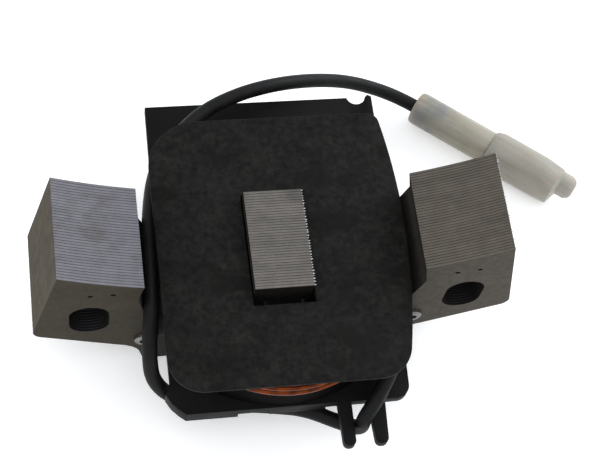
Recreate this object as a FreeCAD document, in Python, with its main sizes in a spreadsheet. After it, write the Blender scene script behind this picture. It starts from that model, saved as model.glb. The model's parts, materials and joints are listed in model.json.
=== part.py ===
import FreeCAD, Part
import math
import os
import Sketcher

# Low-tension ignition coil of a small engine, piece by piece, in millimetres.
# Frame: the origin is the middle of the core's flat back. +Z points at the flywheel,
# X runs across the three legs, and Y runs along the stack of core sheets.

DIMS = {
    # laminated core: outline in X and Z, right half
    "stack_height": 18.0,
    "stack_half": 9.0,
    "back_x": 22.6,
    "back_rise_x": 23.2,
    "back_rise_z": 3.0,
    "back_hollow_x": 26.6,
    "back_hollow_z": 6.9,
    "back_hollow_radius": 5.0,
    "heel_x": 40.0,
    "heel_z": 12.93,
    "heel_side_x": 41.27,
    "heel_side_z": 15.37,
    "heel_radius": 2.2,
    "toe_x": 37.0,
    "toe_z": 36.1,
    "flywheel_radius": 79.0,
    "pole_x": 23.2,
    "pole_z": 30.5,
    "inner_bulge_x": 24.2,
    "inner_bulge_z": 25.6,
    "inner_step_x": 22.8,
    "inner_step_z": 20.4,
    "inner_leg_x": 21.6,
    "inner_leg_z": 17.4,
    "spine_z": 10.0,
    "spine_corner_x": 20.1,
    "spine_corner_z": 11.4,
    "centre_half": 4.95,
    "centre_z": 27.0,
    # bolt slots and rivets of the core
    "slot_x": 32.0,
    "slot_low_z": 17.3,
    "slot_high_z": 20.7,
    "slot_radius": 3.3,
    "rivet_left_x": 22.7,
    "rivet_left_z": 9.6,
    "rivet_right_x": 24.3,
    "rivet_right_z": 11.8,
    "rivet_hole_radius": 1.0,
    "rivet_radius": 0.97,
    "rivet_head_radius": 1.65,
    "rivet_head_height": 0.8,
    "rivet_rim": 0.3,
    "rivet_cup_radius": 0.8,
    "rivet_cup_depth": 0.7,
    # earth tag held by the left rivet
    "tag_thickness": 0.4,
    "tag_ring_radius": 2.4,
    "tag_arm_width": 2.6,
    "tag_arm_length": 5.7,
    # bobbin tube with its two crush ribs
    "window_half_x": 5.2,
    "window_low_y": 11.0,
    "window_high_y": 9.4,
    "tube_wall": 0.9,
    "tube_low_z": 10.15,
    "rib_x": 3.1,
    "rib_width": 0.6,
    "rib_height": 1.0,
    "seat_half_x": 6.13,
    "seat_low_y": 11.93,
    "seat_high_y": 10.33,
    # front flange
    "front_face_z": 25.0,
    "front_back_z": 24.1,
    "front_left_x": 20.3,
    "front_high_y": 24.4,
    "front_low_y": 25.2,
    "front_high_right_x": 20.6,
    "front_low_right_x": 18.9,
    "front_side_radius": 120.0,
    "front_round_high_left": 9.0,
    "front_round_high_right": 2.2,
    "front_round_low_right": 6.0,
    "front_round_low_left": 6.0,
    # rear flange with lead prongs, notch and horn
    "rear_face_z": 13.5,
    "rear_back_z": 11.6,
    "rear_left_x": 19.0,
    "rear_left_mid_x": 19.3,
    "rear_high_y": 34.4,
    "notch_left_x": 18.6,
    "notch_right_x": 22.1,
    "notch_radius": 1.78,
    "horn_tip_x": 22.6,
    "horn_tip_y": 34.9,
    "horn_side_x": 23.3,
    "horn_side_y": 34.5,
    "rear_right_x": 23.1,
    "rear_waist_x": 21.3,
    "rear_waist_y": 10.0,
    "rear_side_right_x": 21.8,
    "rear_low_right_x": 21.2,
    "rear_low_y": 24.9,
    "rear_round": 2.4,
    "prong_tip_y": 32.6,
    "prong_b_right_x": 16.7,
    "prong_b_tip_right_x": 16.3,
    "prong_b_tip_left_x": 14.2,
    "prong_b_left_x": 13.9,
    "prong_a_right_x": 10.9,
    "prong_a_tip_right_x": 10.75,
    "prong_a_tip_left_x": 8.7,
    "prong_a_left_x": 8.6,
    "prong_round": 0.95,
    "rear_corner_x": 17.0,
    "rear_bevel_x": 18.1,
    "rear_bevel_y": 24.0,
    "rear_side_x": 19.3,
    "rear_side_y": 22.7,
    "rear_lobe_x": 20.2,
    "rear_lobe_y": 21.1,
    "rear_lobe_high_y": 19.9,
    "lip_low_z": 10.2,
    "lip_high_y": 23.7,
    "lip_turn_x": 16.2,
    "lip_end_x": 18.9,
    "lip_end_y": 20.9,
    "lip_a_right_x": 8.2,
    "lip_b_left_x": 2.8,
    "lip_b_right_x": 6.8,
    "wire_hole_x": 7.6,
    "wire_hole_y": 11.6,
    "wire_hole_radius": 0.6,
    # winding, its inner wrap and its outer tape
    "wrap_inner_x": 6.12,
    "wrap_inner_low_y": 11.92,
    "wrap_inner_high_y": 10.32,
    "wrap_outer_x": 6.37,
    "wrap_outer_low_y": 12.17,
    "wrap_outer_high_y": 10.57,
    "coil_low_z": 13.6,
    "coil_high_z": 24.0,
    "coil_hole_x": 6.4,
    "coil_hole_low_y": 12.2,
    "coil_hole_high_y": 10.6,
    "coil_corner_x": 15.0,
    "coil_low_corner_y": 19.0,
    "coil_high_corner_y": 15.8,
    "coil_end_radius": 23.9,
    "bare_end_radius": 20.0,
    "coil_side_radius": 66.0,
    "coil_round": 6.0,
    "tape_inner_corner_x": 15.018,
    "tape_inner_low_y": 19.012,
    "tape_inner_high_y": 15.812,
    "tape_inner_end_radius": 23.92,
    "tape_inner_side_radius": 66.02,
    "tape_inner_round": 6.02,
    "tape_outer_corner_x": 15.281,
    "tape_outer_low_y": 19.184,
    "tape_outer_high_y": 15.984,
    "tape_outer_end_radius": 24.22,
    "tape_outer_side_radius": 66.32,
    "tape_outer_round": 6.32,
    "tape_low_z": 13.7,
    "tape_high_z": 20.9,
    # wires and lead
    "magnet_wire": 0.6,
    "lead_diameter": 2.6,
    "strand_diameter": 1.2,
    "splice_outer_radius": 1.45,
    "splice_inner_radius": 1.05,
    "splice_length": 9.4,
    "splice_x": 19.2,
    "splice_y": -9.9,
    "splice_z": 20.0,
    "solder_radius": 0.95,
    "solder_y": -6.2,
    "solder_length": 2.4,
    "earth_solder_x": -18.4,
    "earth_solder_z": 8.6,
    "earth_solder_radius": 1.2,
    "earth_solder_top_radius": 0.8,
    "earth_solder_height": 0.9,
    # bullet connector on the end of the lead, along its own axis
    "connector_x": 34.12,
    "connector_y": 37.29,
    "connector_z": 4.15,
    "connector_turn": -38.0,
    "sleeve_length": 18.0,
    "sleeve_outer": 3.25,
    "sleeve_inner": 2.35,
    "sleeve_lip_outer": 2.7,
    "sleeve_edge": 0.25,
    "sleeve_edge_outer": 3.05,
    "sleeve_full": 0.8,
    "grip_start": 1.0,
    "grip_end": 3.4,
    "grip_outer": 1.75,
    "grip_inner": 1.33,
    "crimp_start": 4.6,
    "crimp_end": 7.2,
    "crimp_outer": 1.2,
    "crimp_inner": 0.6,
    "collar_start": 8.4,
    "collar_end": 9.6,
    "collar_outer": 2.3,
    "neck_outer": 1.3,
    "pin_radius": 1.95,
    "pin_groove_start": 21.8,
    "pin_groove_end": 22.8,
    "pin_groove_radius": 1.7,
    "pin_round_start": 24.2,
    "pin_end": 25.2,
    "pin_nose_radius": 0.9,
    "lead_depth": 3.0,
    "socket_start": 18.3,
    "socket_floor": 26.2,
    "socket_end": 27.0,
    "socket_outer": 2.45,
    "socket_inner": 2.0,
    "socket_slit_half": 0.2,
    "empty_crimp_end": 30.0,
    "empty_crimp_outer": 1.6,
    "empty_crimp_inner": 1.1,
    "mouth_start": 16.5,
    "mouth_full": 18.0,
    "mouth_outer": 3.6,
    "mouth_inner": 3.35,
    "mouth_depth": 18.15,
    "cover_outer": 4.05,
    "cover_inner": 2.55,
    "cover_shoulder": 27.2,
    "cover_heel": 30.8,
    "cover_heel_radius": 3.75,
    "cover_heel_shift": -0.1,
    "cover_floor": 30.4,
    "nose_start": 31.6,
    "nose_full": 33.3,
    "nose_round": 34.1,
    "nose_end": 34.5,
    "nose_radius": 2.35,
    "nose_shift": 1.15,
    "nose_round_radius": 1.95,
    "nose_tip_radius": 1.3,
    "nose_bore": 0.8,
}

# The lead's held stretch: from the splice over the rear flange, down between the two
# prongs, along the flange's back, forward round its left edge and up beside the winding.
HELD_ROUTE = [
    (19.2, -10.2, 20.0),
    (19.2, -14.2, 20.0),
    (18.9, -18.6, 18.6),
    (16.8, -22.8, 17.2),
    (14.2, -26.4, 16.0),
    (12.4, -28.5, 14.6),
    (12.4, -28.9, 10.4),
    (9.2, -26.8, 8.7),
    (3.6, -23.9, 8.6),
    (-4.0, -22.6, 8.7),
    (-12.4, -21.9, 8.8),
    (-19.4, -19.6, 8.8),
    (-22.2, -18.0, 13.2),
    (-22.6, -14.9, 18.6),
    (-21.9, -10.0, 22.2),
    (-21.5, -3.6, 22.5),
    (-21.2, 3.4, 22.1),
    (-20.4, 10.2, 21.0),
    (-19.2, 16.4, 19.5),
    (-16.8, 22.55, 18.2),
    (-13.4, 26.2, 18.0),
]

# The lead's free stretch: out of the flanges, over the rear flange's edge and down to
# the connector, which lies on the same surface as the core's back.
FREE_ROUTE = [
    (-13.4, 26.2, 18.0),
    (-10.0, 29.85, 17.8),
    (-3.2, 33.4, 17.8),
    (4.4, 36.1, 16.6),
    (12.4, 38.8, 13.2),
    (20.4, 41.0, 8.6),
    (27.4, 40.6, 5.4),
    (32.62, 38.46, 4.15),
    (36.48, 35.44, 4.15),
]

# The winding's start wire: out through the rear flange and across to the earth tag.
START_ROUTE = [
    (-7.6, 11.6, 13.6),
    (-7.6, 11.6, 10.9),
    (-10.2, 12.0, 9.9),
    (-14.6, 12.1, 9.2),
    (-18.4, 11.4, 8.6),
    (-18.4, 10.3, 8.6),
]

# The winding's finish wire: off the last turn and back to the splice.
FINISH_ROUTE = [
    (17.5, 6.4, 22.1),
    (18.7, 3.4, 21.4),
    (19.2, 0.0, 20.0),
    (19.2, -3.8, 20.0),
]

document = FreeCAD.newDocument("IgnitionCoil")
sheet = document.addObject("Spreadsheet::Sheet", "Dims")
for row, (alias, size) in enumerate(DIMS.items(), start=1):
    sheet.set("A%d" % row, alias)
    sheet.set("B%d" % row, str(size))
    sheet.setAlias("B%d" % row, alias)
document.recompute()


# ---- terms: "alias", "-alias" or "0" ------------------------------------------------


def number(term):
    if term == "0":
        return 0.0
    return -DIMS[term[1:]] if term.startswith("-") else DIMS[term]


def formula(term):
    return "-Dims." + term[1:] if term.startswith("-") else "Dims." + term


# ---- sketches ---------------------------------------------------------------------


def new_body(label):
    body = document.addObject("PartDesign::Body", label)
    body.Label = label
    return body


def origin_feature(body, role):
    return next(item for item in body.Origin.OriginFeatures if item.Role == role)


def new_sketch(body, role, name, offset="0"):
    """A sketch on one of the body's own origin planes, raised by offset along its normal."""
    sketch = body.newObject("Sketcher::SketchObject", name)
    sketch.AttachmentSupport = [(origin_feature(body, role), "")]
    sketch.MapMode = "FlatFace"
    if offset != "0":
        sketch.setExpression("AttachmentOffset.Base.z", offset)
    return sketch


def bind_point(sketch, edge, end, x_term, y_term):
    for kind, axis, term in (("DistanceX", -2, x_term), ("DistanceY", -1, y_term)):
        if term == "0":
            sketch.addConstraint(Sketcher.Constraint("PointOnObject", edge, end, axis))
            continue
        index = sketch.addConstraint(Sketcher.Constraint(kind, -1, 1, edge, end, number(term)))
        sketch.setExpression("Constraints[%d]" % index, formula(term))


def arc_between(start, end, radius):
    """Arc from start to end: a positive radius bends it left of the chord's middle, so it turns clockwise."""
    chord = end - start
    middle = (start + end) * 0.5
    left = FreeCAD.Vector(-chord.y, chord.x, 0).normalize()
    drop = math.sqrt(radius * radius - chord.Length * chord.Length / 4)
    centre = middle - left * math.copysign(drop, radius)
    first = math.atan2(start.y - centre.y, start.x - centre.x)
    last = math.atan2(end.y - centre.y, end.x - centre.x)
    circle = Part.Circle(centre, FreeCAD.Vector(0, 0, 1), abs(radius))
    if radius > 0:
        return Part.ArcOfCircle(circle, last, first), 2, 1
    return Part.ArcOfCircle(circle, first, last), 1, 2


def add_outline(sketch, corners, arcs=None):
    """Closed outline through corners. arcs gives, for the edge that leaves a corner, (side, radius alias)."""
    arcs = arcs or {}
    points = [FreeCAD.Vector(number(x), number(y), 0) for x, y in corners]
    first_edge = sketch.GeometryCount
    ends = []
    for index, start in enumerate(points):
        end = points[(index + 1) % len(points)]
        if index in arcs:
            side, alias = arcs[index]
            shape, head, tail = arc_between(start, end, side * DIMS[alias])
            edge = sketch.addGeometry(shape, False)
            datum = sketch.addConstraint(Sketcher.Constraint("Radius", edge, DIMS[alias]))
            sketch.setExpression("Constraints[%d]" % datum, "Dims." + alias)
        else:
            edge = sketch.addGeometry(Part.LineSegment(start, end), False)
            head, tail = 1, 2
        ends.append((head, tail))
    for index, (x_term, y_term) in enumerate(corners):
        previous = (index - 1) % len(corners)
        sketch.addConstraint(
            Sketcher.Constraint(
                "Coincident", first_edge + previous, ends[previous][1], first_edge + index, ends[index][0]
            )
        )
        bind_point(sketch, first_edge + index, ends[index][0], x_term, y_term)


def add_circle(sketch, x_term, y_term, radius_alias):
    centre = FreeCAD.Vector(number(x_term), number(y_term), 0)
    circle = Part.Circle(centre, FreeCAD.Vector(0, 0, 1), DIMS[radius_alias])
    edge = sketch.addGeometry(circle, False)
    datum = sketch.addConstraint(Sketcher.Constraint("Radius", edge, DIMS[radius_alias]))
    sketch.setExpression("Constraints[%d]" % datum, "Dims." + radius_alias)
    bind_point(sketch, edge, 3, x_term, y_term)


# ---- features ---------------------------------------------------------------------


def add_pad(body, sketch, length, name="Pad", reverse=False):
    pad = body.newObject("PartDesign::Pad", name)
    pad.Profile = sketch
    pad.setExpression("Length", length)
    pad.Reversed = reverse
    document.recompute()
    return pad


def add_pocket(body, sketch, length=None, name="Pocket", reverse=False):
    """A pocket of the given length, or through the whole body, that must remove material."""
    before = body.Shape.Volume
    pocket = body.newObject("PartDesign::Pocket", name)
    pocket.Profile = sketch
    pocket.Reversed = reverse
    if length is None:
        pocket.Type = "ThroughAll"
    else:
        pocket.setExpression("Length", length)
    document.recompute()
    if not body.Shape.Volume < before:
        raise RuntimeError("%s cuts nothing from %s" % (name, body.Label))
    return pocket


def round_uprights(body, spots, radius, name):
    """Fillets the body's edges along Z that stand at the given (x, y) spots."""
    base = body.Tip
    chosen = []
    for index, edge in enumerate(base.Shape.Edges, start=1):
        low, high = edge.Vertexes[0].Point, edge.Vertexes[-1].Point
        if abs(low.x - high.x) + abs(low.y - high.y) > 1e-6:
            continue
        if any(math.hypot(low.x - x, low.y - y) < 1e-3 for x, y in spots):
            chosen.append("Edge%d" % index)
    if not chosen:
        raise RuntimeError("no edges for %s of %s" % (name, body.Label))
    fillet = body.newObject("PartDesign::Fillet", name)
    fillet.Base = (base, chosen)
    fillet.setExpression("Radius", radius)
    document.recompute()


def spin_profile(label, rings):
    """A body turned about its own X axis from closed profiles of (x alias, radius alias) corners."""
    body = new_body(label)
    sketch = new_sketch(body, "XY_Plane", label + "_profile")
    for corners in rings:
        add_outline(sketch, corners)
    turn = body.newObject("PartDesign::Revolution", label + "_turned")
    turn.Profile = sketch
    turn.ReferenceAxis = (origin_feature(body, "X_Axis"), [""])
    turn.Angle = 360
    document.recompute()
    return body


# ---- tubes along a route ------------------------------------------------------------


def rounded_route(points, label):
    """A wire of straight runs joined by tangent arcs, and the arcs' radii."""
    vectors = [FreeCAD.Vector(*point) for point in points]
    edges = []
    radii = []
    at = vectors[0]
    for before, corner, after in zip(vectors, vectors[1:], vectors[2:]):
        incoming = (corner - before).normalize()
        outgoing = (after - corner).normalize()
        turn = incoming.getAngle(outgoing)
        trim = 0.45 * min((corner - before).Length, (after - corner).Length)
        start = corner - incoming * trim
        end = corner + outgoing * trim
        radius = trim / math.tan(turn / 2)
        bisector = (outgoing - incoming).normalize()
        middle = corner + bisector * (radius / math.cos(turn / 2) - radius)
        edges.append(Part.LineSegment(at, start).toShape())
        edges.append(Part.Arc(start, middle, end).toShape())
        radii.append(radius)
        at = end
    edges.append(Part.LineSegment(at, vectors[-1]).toShape())
    wire = Part.Wire(edges)
    print(label, "length %.1f" % wire.Length, "radii", " ".join("%.1f" % r for r in radii))
    return wire


def add_tube(label, points, diameter_alias):
    """A solid round bar along a route, checked against its section times its length."""
    radius = DIMS[diameter_alias] / 2
    path = rounded_route(points, label)
    start = FreeCAD.Vector(*points[0])
    heading = FreeCAD.Vector(*points[1]) - start
    section = Part.Wire(Part.Circle(start, heading, radius).toShape())
    tube = path.makePipeShell([section], True, False)
    expected = math.pi * radius * radius * path.Length
    if abs(tube.Volume / expected - 1) > 0.01:
        raise RuntimeError("%s has volume %.1f, not %.1f" % (label, tube.Volume, expected))
    return add_feature(label, tube)


def add_feature(label, shape):
    feature = document.addObject("Part::Feature", label)
    feature.Label = label
    feature.Shape = shape
    return feature


# ---- core ---------------------------------------------------------------------------


def core_outline():
    """The outline of one sheet, anticlockwise from the right end of its back, with its arcs."""
    right = [
        ("back_x", "0"),
        ("back_rise_x", "back_rise_z"),
        ("back_hollow_x", "back_hollow_z"),
        ("heel_x", "heel_z"),
        ("heel_side_x", "heel_side_z"),
        ("toe_x", "toe_z"),
        ("pole_x", "pole_z"),
        ("inner_bulge_x", "inner_bulge_z"),
        ("inner_step_x", "inner_step_z"),
        ("inner_leg_x", "inner_leg_z"),
        ("inner_leg_x", "spine_corner_z"),
        ("spine_corner_x", "spine_z"),
        ("centre_half", "spine_z"),
        ("centre_half", "centre_z"),
    ]
    left = [("-" + x, z) for x, z in reversed(right)]
    arcs = {
        1: (1, "back_hollow_radius"),
        3: (-1, "heel_radius"),
        5: (1, "flywheel_radius"),
        len(right) + 7: (1, "flywheel_radius"),
        len(right) + 9: (-1, "heel_radius"),
        len(right) + 11: (1, "back_hollow_radius"),
    }
    return right + left, arcs


def add_slot(sketch, side):
    """A bolt slot along Z: two half circles joined by straight sides."""
    x = DIMS["slot_x"] * side
    low, high, radius = DIMS["slot_low_z"], DIMS["slot_high_z"], DIMS["slot_radius"]
    up = FreeCAD.Vector(0, 0, 1)
    first = sketch.GeometryCount
    sketch.addGeometry(Part.ArcOfCircle(Part.Circle(FreeCAD.Vector(x, high, 0), up, radius), 0, math.pi), False)
    sketch.addGeometry(
        Part.LineSegment(FreeCAD.Vector(x - radius, high, 0), FreeCAD.Vector(x - radius, low, 0)), False
    )
    sketch.addGeometry(
        Part.ArcOfCircle(Part.Circle(FreeCAD.Vector(x, low, 0), up, radius), math.pi, 2 * math.pi), False
    )
    sketch.addGeometry(
        Part.LineSegment(FreeCAD.Vector(x + radius, low, 0), FreeCAD.Vector(x + radius, high, 0)), False
    )
    for step in range(4):
        following = first + (step + 1) % 4
        sketch.addConstraint(Sketcher.Constraint("Tangent", first + step, 2, following, 1))
    datum = sketch.addConstraint(Sketcher.Constraint("Radius", first, radius))
    sketch.setExpression("Constraints[%d]" % datum, "Dims.slot_radius")
    centre_x = "slot_x" if side > 0 else "-slot_x"
    bind_point(sketch, first, 3, centre_x, "slot_high_z")
    bind_point(sketch, first + 2, 3, centre_x, "slot_low_z")


def build_laminations():
    """The stack of 36 riveted sheets as one solid: three legs joined by a yoke along the back."""
    body = new_body("core_laminations")
    sketch = new_sketch(body, "XZ_Plane", "SheetOutline", "Dims.stack_half")
    corners, arcs = core_outline()
    add_outline(sketch, corners, arcs)
    for side in (1, -1):
        add_slot(sketch, side)
    add_circle(sketch, "-rivet_left_x", "rivet_left_z", "rivet_hole_radius")
    add_circle(sketch, "rivet_right_x", "rivet_right_z", "rivet_hole_radius")
    add_pad(body, sketch, "Dims.stack_height", "SheetStack", reverse=True)
    return body


def build_rivets():
    """Two tubular rivets through the stack; the left one also holds the earth tag."""
    half, head, rim = DIMS["stack_half"], DIMS["rivet_head_height"], DIMS["rivet_rim"]
    shank, wide, cup = DIMS["rivet_radius"], DIMS["rivet_head_radius"], DIMS["rivet_cup_radius"]
    rivets = []
    places = (
        (-DIMS["rivet_left_x"], DIMS["rivet_left_z"], half + DIMS["tag_thickness"]),
        (DIMS["rivet_right_x"], DIMS["rivet_right_z"], half),
    )
    for x, z, grip in places:
        cup_floor = -half - head + DIMS["rivet_cup_depth"]
        profile = [
            (0, cup_floor),
            (cup, cup_floor),
            (cup, -half - head),
            (wide - rim, -half - head),
            (wide, -half - head + rim),
            (wide, -half),
            (shank, -half),
            (shank, grip),
            (wide, grip),
            (wide, grip + head - rim),
            (wide - rim, grip + head),
            (0, grip + head),
            (0, cup_floor),
        ]
        face = Part.Face(Part.makePolygon([FreeCAD.Vector(x + radius, y, z) for radius, y in profile]))
        rivets.append(face.revolve(FreeCAD.Vector(x, 0, z), FreeCAD.Vector(0, 1, 0), 360))
    return add_feature("core_rivets", Part.makeCompound(rivets))


# ---- primitives ---------------------------------------------------------------------


def add_primitive(kind, name, sizes, base, along_y=False):
    """A Part primitive whose sizes and base point follow the sheet; along_y lays its axis on +Y."""
    item = document.addObject(kind, name)
    if along_y:
        item.Placement = FreeCAD.Placement(FreeCAD.Vector(), FreeCAD.Rotation(FreeCAD.Vector(1, 0, 0), -90))
    for size, expression in sizes.items():
        item.setExpression(size, expression)
    for axis, expression in zip("xyz", base):
        item.setExpression("Placement.Base." + axis, expression)
    return item


def combine(kind, label, base, tool):
    item = document.addObject(kind, label)
    item.Label = label
    item.Base = base
    item.Tool = tool
    return item


def build_earth_tag():
    ring = add_primitive(
        "Part::Cylinder",
        "TagRing",
        {"Radius": "Dims.tag_ring_radius", "Height": "Dims.tag_thickness"},
        ("-Dims.rivet_left_x", "Dims.stack_half", "Dims.rivet_left_z"),
        along_y=True,
    )
    arm = add_primitive(
        "Part::Box",
        "TagArm",
        {"Length": "Dims.tag_arm_length", "Width": "Dims.tag_thickness", "Height": "Dims.tag_arm_width"},
        ("-Dims.rivet_left_x", "Dims.stack_half", "Dims.earth_solder_z - Dims.tag_arm_width / 2"),
    )
    hole = add_primitive(
        "Part::Cylinder",
        "TagHole",
        {"Radius": "Dims.rivet_hole_radius", "Height": "Dims.tag_thickness"},
        ("-Dims.rivet_left_x", "Dims.stack_half", "Dims.rivet_left_z"),
        along_y=True,
    )
    blank = combine("Part::Fuse", "TagBlank", ring, arm)
    return combine("Part::Cut", "earth_tag", blank, hole)


def build_earth_solder():
    solder = add_primitive(
        "Part::Cone",
        "earth_solder",
        {
            "Radius1": "Dims.earth_solder_radius",
            "Radius2": "Dims.earth_solder_top_radius",
            "Height": "Dims.earth_solder_height",
        },
        ("Dims.earth_solder_x", "Dims.stack_half + Dims.tag_thickness", "Dims.earth_solder_z"),
        along_y=True,
    )
    return solder


def build_splice_sleeve():
    sizes = {"Height": "Dims.splice_length"}
    base = ("Dims.splice_x", "Dims.splice_y", "Dims.splice_z")
    outside = add_primitive(
        "Part::Cylinder", "SpliceOutside", dict(sizes, Radius="Dims.splice_outer_radius"), base, along_y=True
    )
    inside = add_primitive(
        "Part::Cylinder", "SpliceInside", dict(sizes, Radius="Dims.splice_inner_radius"), base, along_y=True
    )
    return combine("Part::Cut", "splice_sleeve", outside, inside)


def build_splice_solder():
    return add_primitive(
        "Part::Cylinder",
        "splice_solder",
        {"Radius": "Dims.solder_radius", "Height": "Dims.solder_length"},
        ("Dims.splice_x", "Dims.solder_y", "Dims.splice_z"),
        along_y=True,
    )


# ---- bobbin -------------------------------------------------------------------------


def rectangle(half_x, low_y, high_y):
    return [("-" + half_x, "-" + low_y), (half_x, "-" + low_y), (half_x, high_y), ("-" + half_x, high_y)]


def build_bobbin_tube():
    """The rectangular tube round the centre leg, with two crush ribs on its lower wall."""
    height = "Dims.front_back_z - Dims.tube_low_z"
    outside = add_primitive(
        "Part::Box",
        "TubeOutside",
        {
            "Length": "2 * (Dims.window_half_x + Dims.tube_wall)",
            "Width": "Dims.window_low_y + Dims.window_high_y + 2 * Dims.tube_wall",
            "Height": height,
        },
        ("-Dims.window_half_x - Dims.tube_wall", "-Dims.window_low_y - Dims.tube_wall", "Dims.tube_low_z"),
    )
    inside = add_primitive(
        "Part::Box",
        "TubeInside",
        {
            "Length": "2 * Dims.window_half_x",
            "Width": "Dims.window_low_y + Dims.window_high_y",
            "Height": height,
        },
        ("-Dims.window_half_x", "-Dims.window_low_y", "Dims.tube_low_z"),
    )
    shell = combine("Part::Cut", "TubeShell", outside, inside)
    for side, sign in (("Left", "-"), ("Right", "+")):
        rib = add_primitive(
            "Part::Box",
            "Rib" + side,
            {"Length": "Dims.rib_width", "Width": "Dims.rib_height", "Height": height},
            (
                "%sDims.rib_x - Dims.rib_width / 2" % sign.replace("+", ""),
                "-Dims.window_low_y",
                "Dims.tube_low_z",
            ),
        )
        shell = combine("Part::Fuse", "TubeWithRib" + side, shell, rib)
    shell.Label = "bobbin_tube"
    return shell


def build_front_flange():
    body = new_body("front_flange")
    sketch = new_sketch(body, "XY_Plane", "FrontOutline", "Dims.front_back_z")
    corners = [
        ("-front_left_x", "-front_low_y"),
        ("front_low_right_x", "-front_low_y"),
        ("front_high_right_x", "front_high_y"),
        ("-front_left_x", "front_high_y"),
    ]
    add_outline(sketch, corners, {1: (-1, "front_side_radius")})
    add_outline(sketch, rectangle("window_half_x", "window_low_y", "window_high_y"))
    add_pad(body, sketch, "Dims.front_face_z - Dims.front_back_z")
    rounds = ("front_round_low_left", "front_round_low_right", "front_round_high_right", "front_round_high_left")
    for corner, radius in zip(corners, rounds):
        spot = (number(corner[0]), number(corner[1]))
        round_uprights(body, [spot], "Dims." + radius, "Round_" + radius)
    return body


def build_rear_flange():
    body = new_body("rear_flange")
    sketch = new_sketch(body, "XY_Plane", "RearOutline", "Dims.rear_back_z")
    prongs = []
    for prong in ("a", "b"):
        prongs += [
            ("prong_%s_left_x" % prong, "-rear_low_y"),
            ("prong_%s_tip_left_x" % prong, "-prong_tip_y"),
            ("prong_%s_tip_right_x" % prong, "-prong_tip_y"),
            ("prong_%s_right_x" % prong, "-rear_low_y"),
        ]
    corners = [
        ("-rear_left_x", "rear_high_y"),
        ("-rear_left_mid_x", "rear_waist_y"),
        ("-rear_left_mid_x", "-rear_lobe_high_y"),
        ("-rear_lobe_x", "-rear_lobe_y"),
        ("-rear_side_x", "-rear_side_y"),
        ("-rear_bevel_x", "-rear_bevel_y"),
        ("-rear_corner_x", "-rear_low_y"),
    ]
    corners += prongs
    corners += [
        ("rear_low_right_x", "-rear_low_y"),
        ("rear_side_right_x", "-rear_waist_y"),
        ("rear_waist_x", "-rear_waist_y"),
        ("rear_waist_x", "rear_waist_y"),
        ("rear_right_x", "rear_waist_y"),
        ("horn_side_x", "horn_side_y"),
        ("horn_tip_x", "horn_tip_y"),
        ("notch_right_x", "rear_high_y"),
        ("notch_left_x", "rear_high_y"),
    ]
    add_outline(sketch, corners, {len(corners) - 2: (1, "notch_radius")})
    add_outline(sketch, rectangle("seat_half_x", "seat_low_y", "seat_high_y"))
    add_circle(sketch, "-wire_hole_x", "wire_hole_y", "wire_hole_radius")
    add_pad(body, sketch, "Dims.rear_face_z - Dims.rear_back_z")
    tips = [(number(x), number(y)) for x, y in prongs if y == "-prong_tip_y"]
    round_uprights(body, tips, "Dims.prong_round", "ProngTips")
    low_right = (number("rear_low_right_x"), number("-rear_low_y"))
    round_uprights(body, [low_right], "Dims.rear_round", "LowCorner")
    lips = new_sketch(body, "XY_Plane", "Lips", "Dims.lip_low_z")
    corner_lip = [
        ("-lip_a_right_x", "-lip_high_y"),
        ("-lip_turn_x", "-lip_high_y"),
        ("-lip_end_x", "-lip_end_y"),
        ("-rear_lobe_x", "-rear_lobe_y"),
        ("-rear_side_x", "-rear_side_y"),
        ("-rear_bevel_x", "-rear_bevel_y"),
        ("-rear_corner_x", "-rear_low_y"),
        ("-lip_a_right_x", "-rear_low_y"),
    ]
    middle_lip = [
        ("-lip_b_left_x", "-rear_low_y"),
        ("lip_b_right_x", "-rear_low_y"),
        ("lip_b_right_x", "-lip_high_y"),
        ("-lip_b_left_x", "-lip_high_y"),
    ]
    add_outline(lips, corner_lip)
    add_outline(lips, middle_lip)
    add_pad(body, lips, "Dims.rear_back_z - Dims.lip_low_z", "LipPad")
    return body


# ---- winding ------------------------------------------------------------------------


def build_winding():
    """The copper winding as one closed ring: taped up to tape_high_z, and bare and fuller beyond."""
    body = new_body("coil_winding")
    corners = rectangle("coil_corner_x", "coil_low_corner_y", "coil_high_corner_y")
    spots = [(number(x), number(y)) for x, y in corners]
    for name, low, high, end_radius in (
        ("Taped", "Dims.coil_low_z", "Dims.tape_high_z", "coil_end_radius"),
        ("Bare", "Dims.tape_high_z", "Dims.coil_high_z", "bare_end_radius"),
    ):
        sketch = new_sketch(body, "XY_Plane", name + "Outline", low)
        bowed = {edge: (-1, "coil_side_radius" if edge % 2 else end_radius) for edge in range(4)}
        add_outline(sketch, corners, bowed)
        add_outline(sketch, rectangle("coil_hole_x", "coil_hole_low_y", "coil_hole_high_y"))
        add_pad(body, sketch, high + " - " + low, name + "Turns")
        round_uprights(body, spots, "Dims.coil_round", name + "Corners")
    return body


def build_inner_wrap():
    body = new_body("inner_wrap")
    sketch = new_sketch(body, "XY_Plane", "WrapOutline", "Dims.coil_low_z")
    add_outline(sketch, rectangle("wrap_outer_x", "wrap_outer_low_y", "wrap_outer_high_y"))
    add_outline(sketch, rectangle("wrap_inner_x", "wrap_inner_low_y", "wrap_inner_high_y"))
    add_pad(body, sketch, "Dims.coil_high_z - Dims.coil_low_z")
    return body


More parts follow.
